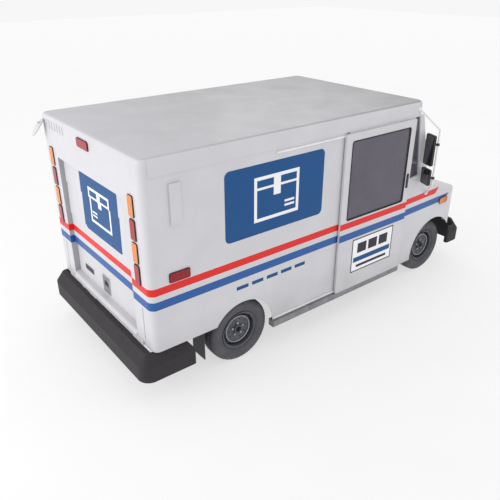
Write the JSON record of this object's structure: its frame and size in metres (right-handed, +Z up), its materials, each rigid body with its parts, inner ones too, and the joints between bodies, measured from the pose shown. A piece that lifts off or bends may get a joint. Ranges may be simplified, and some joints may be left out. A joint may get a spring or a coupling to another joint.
{
  "type": "mail delivery truck",
  "caption": "Boxy white postal delivery van with a roll-up rear door, sliding cab doors, dark moulded bumpers, striped sides and a driver's place on the right",
  "frame": {"origin": "centre of the bounding box at floor level", "axes": "+X towards the front of the truck, +Y towards its left side, +Z up"},
  "size_m": [4.46, 2.254, 2.1459],
  "materials": {
    "body_white": "white enamel on sheet and moulded panels",
    "frame_black": "black chassis paint",
    "rail_metal": "white coated rail",
    "bumper_grey": "grained moulded bumper plastic",
    "tyre_rubber": "sidewall and tread rubber",
    "wheel_grey": "dark grey painted steel wheel",
    "cast_alloy": "sand cast housing",
    "exhaust_steel": "dull exhaust tube",
    "tank_plastic": "moulded tank",
    "cab_glass": "tinted safety glass",
    "clear_lens": "clear lamp lens",
    "amber_lens": "amber lamp lens",
    "red_lens": "red lamp lens",
    "trim_black": "satin black trim",
    "step_rubber": "ribbed step covering",
    "floor_metal": "grey painted floor",
    "dash_black": "grained dash moulding",
    "seat_vinyl": "dark vinyl seat cover",
    "control_black": "black painted control"
  },
  "bodies": {
    "chassis": {"chassis_frame": "frame_black", "leaf_springs": "frame_black", "engine": "cast_alloy", "radiator": "cast_alloy", "exhaust": "exhaust_steel", "fuel_tank": "tank_plastic", "side_panel_right": "body_white", "side_panel_left": "body_white", "roof": "body_white", "rear_frame": "body_white", "cowl_frame": "body_white", "cab_glass": "cab_glass", "front_fenders": "body_white", "grille": "trim_black", "headlamps": "clear_lens", "amber_lamps": "amber_lens", "red_lamps": "red_lens", "rear_bumper": "bumper_grey", "front_bumper": "bumper_grey", "running_boards": "step_rubber", "floor_pan": "floor_metal", "bulkhead": "floor_metal", "door_tracks": "rail_metal", "dashboard": "dash_black", "mirror_brackets": "rail_metal"},
    "rear_axle": {"rear_axle": "frame_black"},
    "driveshaft": {"driveshaft": "frame_black"},
    "tie_rod": {"tie_rod": "frame_black"},
    "steering_wheel": {"steering_wheel": "trim_black"},
    "gear_lever": {"gear_lever": "control_black"},
    "brake_pedal": {"brake_pedal": "control_black"},
    "seat": {"seat_base": "control_black", "seat_cushion": "seat_vinyl"},
    "seat_back": {"seat_back": "seat_vinyl"},
    "hood": {"hood": "body_white"},
    "rear_door_latch": {"rear_door_latch": "trim_black"},
    "wiper_right": {"wiper_right": "trim_black"},
    "wiper_left": {"wiper_left": "trim_black"},
    "rear_section_1": {"rear_section_1": "body_white"},
    "rear_section_2": {"rear_section_2": "body_white"},
    "rear_section_3": {"rear_section_3": "body_white"},
    "rear_section_4": {"rear_section_4": "body_white"},
    "rear_wheel_right": {"rear_wheel_right": "wheel_grey", "rear_tyre_right": "tyre_rubber"},
    "front_wheel_right": {"front_wheel_right": "wheel_grey", "front_tyre_right": "tyre_rubber"},
    "carrier_right": {"carrier_right": "frame_black"},
    "knuckle_right": {"knuckle_right": "frame_black"},
    "door_right": {"door_right": "body_white", "door_glass_right": "cab_glass"},
    "mirror_right": {"mirror_heads_right": "trim_black"},
    "rear_wheel_left": {"rear_wheel_left": "wheel_grey", "rear_tyre_left": "tyre_rubber"},
    "front_wheel_left": {"front_wheel_left": "wheel_grey", "front_tyre_left": "tyre_rubber"},
    "carrier_left": {"carrier_left": "frame_black"},
    "knuckle_left": {"knuckle_left": "frame_black"},
    "door_left": {"door_left": "body_white", "door_glass_left": "cab_glass"},
    "mirror_left": {"mirror_heads_left": "trim_black"}
  },
  "joints": [
    {"name": "rear_suspension", "type": "slide", "parent": "chassis", "child": "rear_axle", "axis": [0, 0, 1], "range_m": [-0.055, 0.055], "stiffness_N_per_m": 120000, "springref_m": -0.0841, "deforming": ["leaf_springs"]},
    {"name": "driveshaft_spin", "type": "hinge", "parent": "rear_axle", "child": "driveshaft", "pos_m": [-0.9, 0, 0.3195], "axis": [1, 0, 0], "continuous": true},
    {"name": "rear_wheel_right_spin", "type": "hinge", "parent": "rear_axle", "child": "rear_wheel_right", "pos_m": [-1.185, 0, 0.3195], "axis": [0, 1, 0], "continuous": true},
    {"name": "front_suspension_right", "type": "slide", "parent": "chassis", "child": "carrier_right", "axis": [0, 0, 1], "range_m": [-0.05, 0.05], "stiffness_N_per_m": 60000, "springref_m": -0.0778},
    {"name": "steer_right", "type": "hinge", "parent": "carrier_right", "child": "knuckle_right", "pos_m": [1.638, -0.64, 0.3195], "axis": [0, 0, 1], "range_deg": [-30, 30]},
    {"name": "front_wheel_right_spin", "type": "hinge", "parent": "knuckle_right", "child": "front_wheel_right", "pos_m": [1.638, 0, 0.3195], "axis": [0, 1, 0], "continuous": true},
    {"name": "rear_wheel_left_spin", "type": "hinge", "parent": "rear_axle", "child": "rear_wheel_left", "pos_m": [-1.185, 0, 0.3195], "axis": [0, 1, 0], "continuous": true},
    {"name": "front_suspension_left", "type": "slide", "parent": "chassis", "child": "carrier_left", "axis": [0, 0, 1], "range_m": [-0.05, 0.05], "stiffness_N_per_m": 60000, "springref_m": -0.0778},
    {"name": "steer_left", "type": "hinge", "parent": "carrier_left", "child": "knuckle_left", "pos_m": [1.638, 0.64, 0.3195], "axis": [0, 0, 1], "range_deg": [-30, 30]},
    {"name": "front_wheel_left_spin", "type": "hinge", "parent": "knuckle_left", "child": "front_wheel_left", "pos_m": [1.638, 0, 0.3195], "axis": [0, 1, 0], "continuous": true},
    {"name": "tie_rod_shift", "type": "slide", "parent": "chassis", "child": "tie_rod", "axis": [0, 1, 0], "range_m": [-0.055, 0.055]},
    {"name": "steering_wheel_turn", "type": "hinge", "parent": "chassis", "child": "steering_wheel", "pos_m": [0.825, -0.48, 1.24], "axis": [0.866, 0, -0.5], "range_deg": [-485, 485]},
    {"name": "gear_select", "type": "hinge", "parent": "chassis", "child": "gear_lever", "pos_m": [0.9203, -0.48, 1.185], "axis": [0.866, 0, -0.5], "range_deg": [0, 40]},
    {"name": "brake_pedal_press", "type": "hinge", "parent": "chassis", "child": "brake_pedal", "pos_m": [1.165, -0.48, 0.975], "axis": [0, -1, 0], "range_deg": [0, 12], "stiffness_Nm_per_rad": 80, "springref_deg": -20.05},
    {"name": "seat_slide", "type": "slide", "parent": "chassis", "child": "seat", "axis": [1, 0, 0], "range_m": [-0.04, 0.12]},
    {"name": "seat_recline", "type": "hinge", "parent": "seat", "child": "seat_back", "pos_m": [0.28, -0.48, 0.94], "axis": [0, -1, 0], "range_deg": [0, 15]},
    {"name": "hood_open", "type": "hinge", "parent": "chassis", "child": "hood", "pos_m": [1.385, 0, 1.16], "axis": [0, -1, 0], "range_deg": [0, 60]},
    {"name": "door_right_slide", "type": "slide", "parent": "chassis", "child": "door_right", "axis": [-1, 0, 0], "range_m": [0, 0.8]},
    {"name": "door_left_slide", "type": "slide", "parent": "chassis", "child": "door_left", "axis": [-1, 0, 0], "range_m": [0, 0.8]},
    {"name": "rear_section_1_lift", "type": "slide", "parent": "chassis", "child": "rear_section_1", "axis": [0.0216, 0, 0.9998], "range_m": [0, 1.194]},
    {"name": "rear_section_2_lift", "type": "slide", "parent": "chassis", "child": "rear_section_2", "axis": [0.0216, 0, 0.9998], "range_m": [0, 0.879]},
    {"name": "rear_section_3_lift", "type": "slide", "parent": "chassis", "child": "rear_section_3", "axis": [0.0216, 0, 0.9998], "range_m": [0, 0.562]},
    {"name": "rear_section_4_lift", "type": "slide", "parent": "chassis", "child": "rear_section_4", "axis": [0.0216, 0, 0.9998], "range_m": [0, 0.244]},
    {"name": "rear_latch_turn", "type": "hinge", "parent": "rear_section_1", "child": "rear_door_latch", "pos_m": [-2.05, 0.013, 0.701], "axis": [1, 0, 0], "range_deg": [0, 90]},
    {"name": "wiper_right_sweep", "type": "hinge", "parent": "chassis", "child": "wiper_right", "pos_m": [1.3613, -0.62, 1.191], "axis": [0.9609, 0, 0.277], "range_deg": [0, 95]},
    {"name": "wiper_left_sweep", "type": "hinge", "parent": "chassis", "child": "wiper_left", "pos_m": [1.3613, 0.06, 1.191], "axis": [0.9609, 0, 0.277], "range_deg": [0, 95]},
    {"name": "mirror_right_turn", "type": "hinge", "parent": "chassis", "child": "mirror_right", "pos_m": [1.215, -1.11, 1.4], "axis": [0, 0, 1], "range_deg": [-25, 25]},
    {"name": "mirror_left_turn", "type": "hinge", "parent": "chassis", "child": "mirror_left", "pos_m": [1.215, 1.11, 1.4], "axis": [0, 0, 1], "range_deg": [-25, 25]}
  ],
  "couplings": [
    {"joint": "steer_right", "follows": "steer_left", "ratio": 1},
    {"joint": "tie_rod_shift", "follows": "steer_left", "m_per_rad": -0.092},
    {"joint": "steering_wheel_turn", "follows": "steer_left", "ratio": -16},
    {"joint": "wiper_left_sweep", "follows": "wiper_right_sweep", "ratio": 1},
    {"joint": "rear_section_2_lift", "follows": "rear_section_1_lift", "ratio": 0.7361},
    {"joint": "rear_section_3_lift", "follows": "rear_section_1_lift", "ratio": 0.4706},
    {"joint": "rear_section_4_lift", "follows": "rear_section_1_lift", "ratio": 0.2043}
  ]
}
